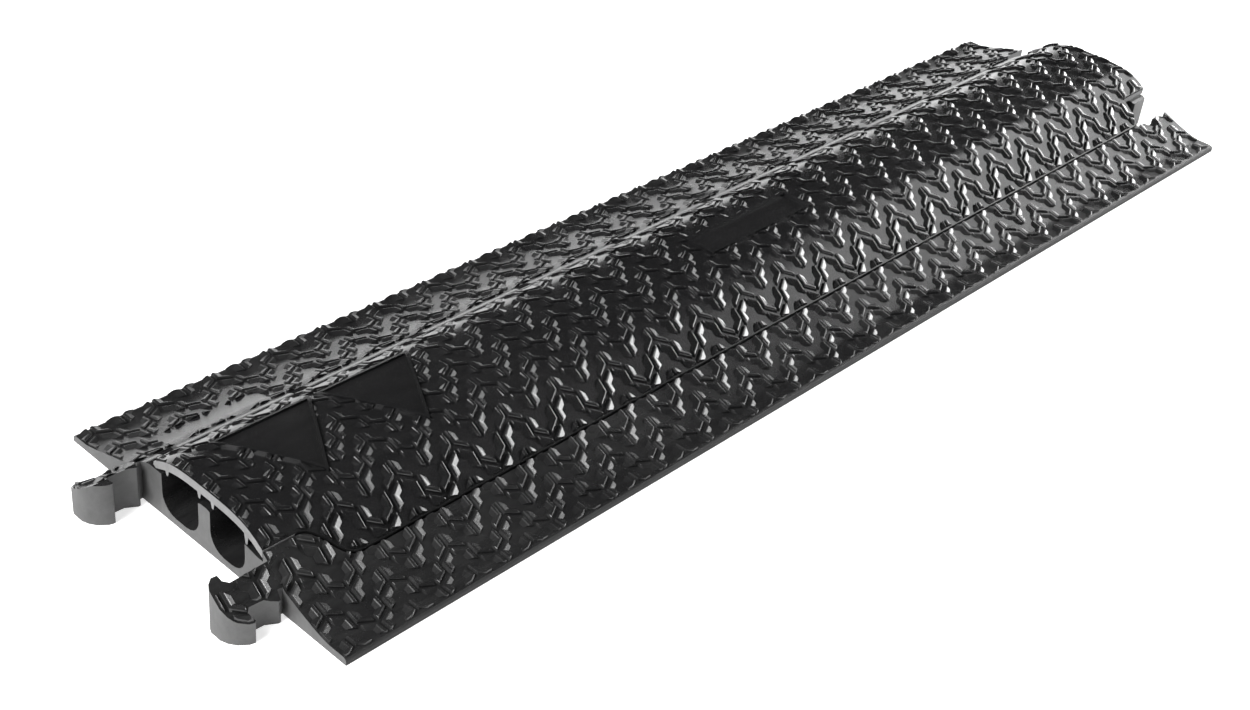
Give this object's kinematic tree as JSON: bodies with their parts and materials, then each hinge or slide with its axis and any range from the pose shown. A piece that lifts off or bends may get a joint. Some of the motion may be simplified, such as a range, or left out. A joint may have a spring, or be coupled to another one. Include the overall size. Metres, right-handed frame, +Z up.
{
  "type": "floor cord cover",
  "caption": "Low black ramp that shields cables lying across a floor: cable channels under a hinged, domed lid, with hooks and sockets that join it to others of its kind.",
  "frame": {"origin": "on the floor, halfway between the ramps' two end faces and halfway across the base", "axes": "+X along the cable channels, from the hooks' end to the sockets' end; +Y from the side that opens to the hinge side; +Z up from the floor"},
  "size_m": [1.0398, 0.267, 0.0485],
  "materials": {
    "base_moulding": "hard black moulded rubber, satin, with a raised tread",
    "lid_moulding": "hard black moulded rubber, satin, with a raised tread",
    "rod": "drawn glass-fibre rod"
  },
  "bodies": {
    "base": {"base": "base_moulding", "hinge_rod": "rod"},
    "lid": {"lid": "lid_moulding"}
  },
  "joints": [
    {"name": "lid_hinge", "type": "hinge", "parent": "base", "child": "lid", "pos_m": [0, 0.051, 0.026], "axis": [-1, 0, 0], "range_deg": [0, 100]}
  ]
}
